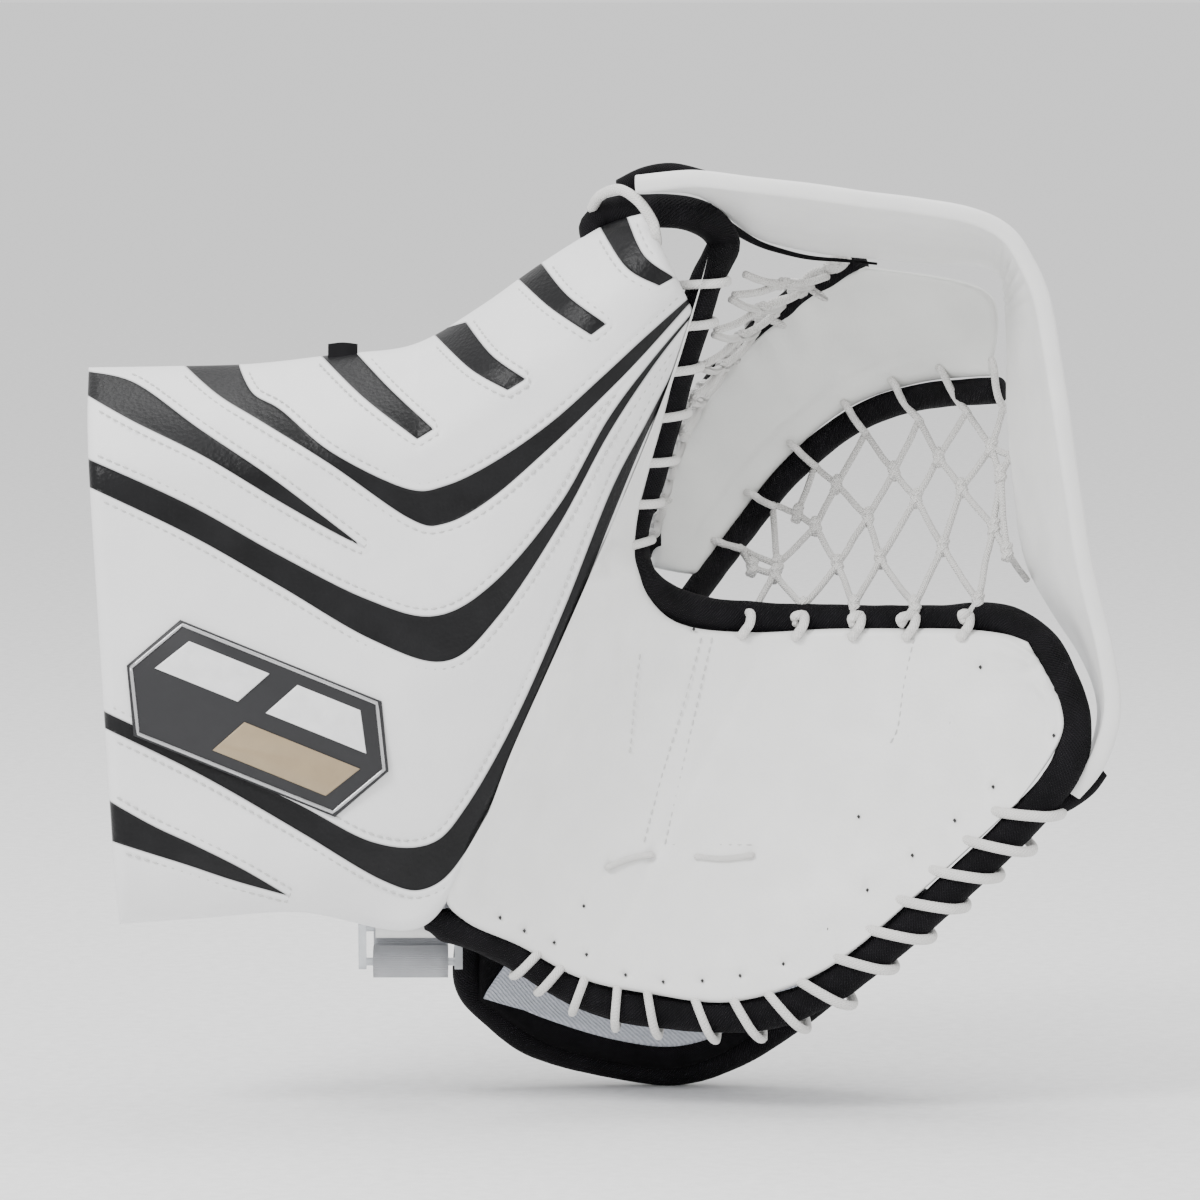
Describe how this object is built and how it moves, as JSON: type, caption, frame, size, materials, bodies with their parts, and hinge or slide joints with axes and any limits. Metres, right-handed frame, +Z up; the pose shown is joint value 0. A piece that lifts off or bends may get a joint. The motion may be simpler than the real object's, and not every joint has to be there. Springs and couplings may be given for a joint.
{
  "type": "goalie catch glove",
  "caption": "Ice hockey catching glove for a goaltender: one-piece cuff and thumb, laced palm, T-shaped pocket with cord nets, and a strapped back pad.",
  "frame": {"origin": "middle of the footprint of the standing glove, on the floor under the lower edge of its back pad", "axes": "+X from the cuff towards the finger tips, -Y the way the open palm faces, +Z up"},
  "size_m": [0.3827, 0.1327, 0.3523],
  "materials": {
    "white_leather": "satin",
    "cuff_leather": "satin",
    "black_leather": "satin",
    "foam": "matte",
    "board": "matte",
    "mesh_lining": "matte",
    "lace": "matte",
    "net_cord": "matte",
    "black_nylon": "matte",
    "webbing": "matte",
    "loop_pile": "matte",
    "hook_pile": "matte",
    "badge_black": "gloss",
    "badge_inlay": "gloss",
    "ring_plastic": "gloss",
    "rivet": "satin"
  },
  "bodies": {
    "hand_side": {"palm_leather": "white_leather", "palm_break": "white_leather", "palm_foam": "foam", "palm_board": "board", "palm_liner": "mesh_lining", "palm_lace": "lace", "index_stall": "mesh_lining", "middle_stall": "mesh_lining", "ring_stall": "mesh_lining", "little_stall": "mesh_lining", "finger_roll": "black_nylon", "finger_lace": "lace", "pocket_lace": "lace", "tee_side": "white_leather", "tee_side_core": "foam", "tee_crease": "white_leather", "stem_leather": "white_leather", "stem_core": "foam", "stem_rolls": "black_nylon", "stem_lace": "lace", "finger_net": "net_cord"},
    "thumb_side": {"cuff_leather": "cuff_leather", "cuff_stripes": "black_leather", "badge_base": "badge_black", "badge_inlays": "badge_inlay", "cuff_foam": "foam", "cuff_board": "board", "cuff_liner": "mesh_lining", "thumb_leather": "white_leather", "thumb_foam": "foam", "thumb_stall": "mesh_lining", "thumb_roll": "black_nylon", "thumb_lace": "lace", "heel_roll": "black_nylon", "heel_lace": "lace", "tee_top": "white_leather", "tee_top_core": "foam", "tee_end_roll": "black_nylon", "tee_lace": "lace", "thumb_net": "net_cord", "wrist_strap": "webbing", "ring_tab": "webbing", "loop_patch": "loop_pile", "rivets": "rivet"},
    "strap_ring": {"strap_ring": "ring_plastic"},
    "wrist_flap": {"wrist_flap": "webbing", "hook_patch": "hook_pile"},
    "back_pad": {"back_pad": "black_nylon", "back_pad_foam": "foam", "back_pad_liner": "mesh_lining", "back_pad_binding": "black_nylon", "hand_strap": "webbing"},
    "hand_flap": {"hand_flap": "webbing", "hand_hook": "hook_pile"}
  },
  "joints": [
    {"name": "glove_break", "type": "hinge", "parent": "hand_side", "child": "thumb_side", "pos_m": [-0.0115, -0.03519, 0.04281], "axis": [0.4589, 0.1761, 0.8709], "range_deg": [0, 30], "stiffness_Nm_per_rad": 4, "springref_deg": -14.32, "deforming": ["palm_break", "palm_lace", "tee_crease", "stem_leather", "stem_core", "stem_rolls", "stem_lace", "thumb_net"]},
    {"name": "back_pad_lift", "type": "hinge", "parent": "hand_side", "child": "back_pad", "pos_m": [0.04, 0.04395, 0.15574], "axis": [1, 0, 0], "range_deg": [0, 15], "stiffness_Nm_per_rad": 1.5, "springref_deg": -11.46},
    {"name": "strap_ring_swing", "type": "hinge", "parent": "thumb_side", "child": "strap_ring", "pos_m": [-0.071, -0.01206, 0.06628], "axis": [1, 0, 0], "range_deg": [-5, 5]},
    {"name": "wrist_flap_open", "type": "hinge", "parent": "thumb_side", "child": "wrist_flap", "pos_m": [-0.071, -0.00821, 0.05289], "axis": [-1, 0, 0], "range_deg": [0, 70]},
    {"name": "hand_flap_open", "type": "hinge", "parent": "back_pad", "child": "hand_flap", "pos_m": [0.029, 0.05841, 0.0571], "axis": [-1, 0, 0], "range_deg": [0, 70]}
  ]
}
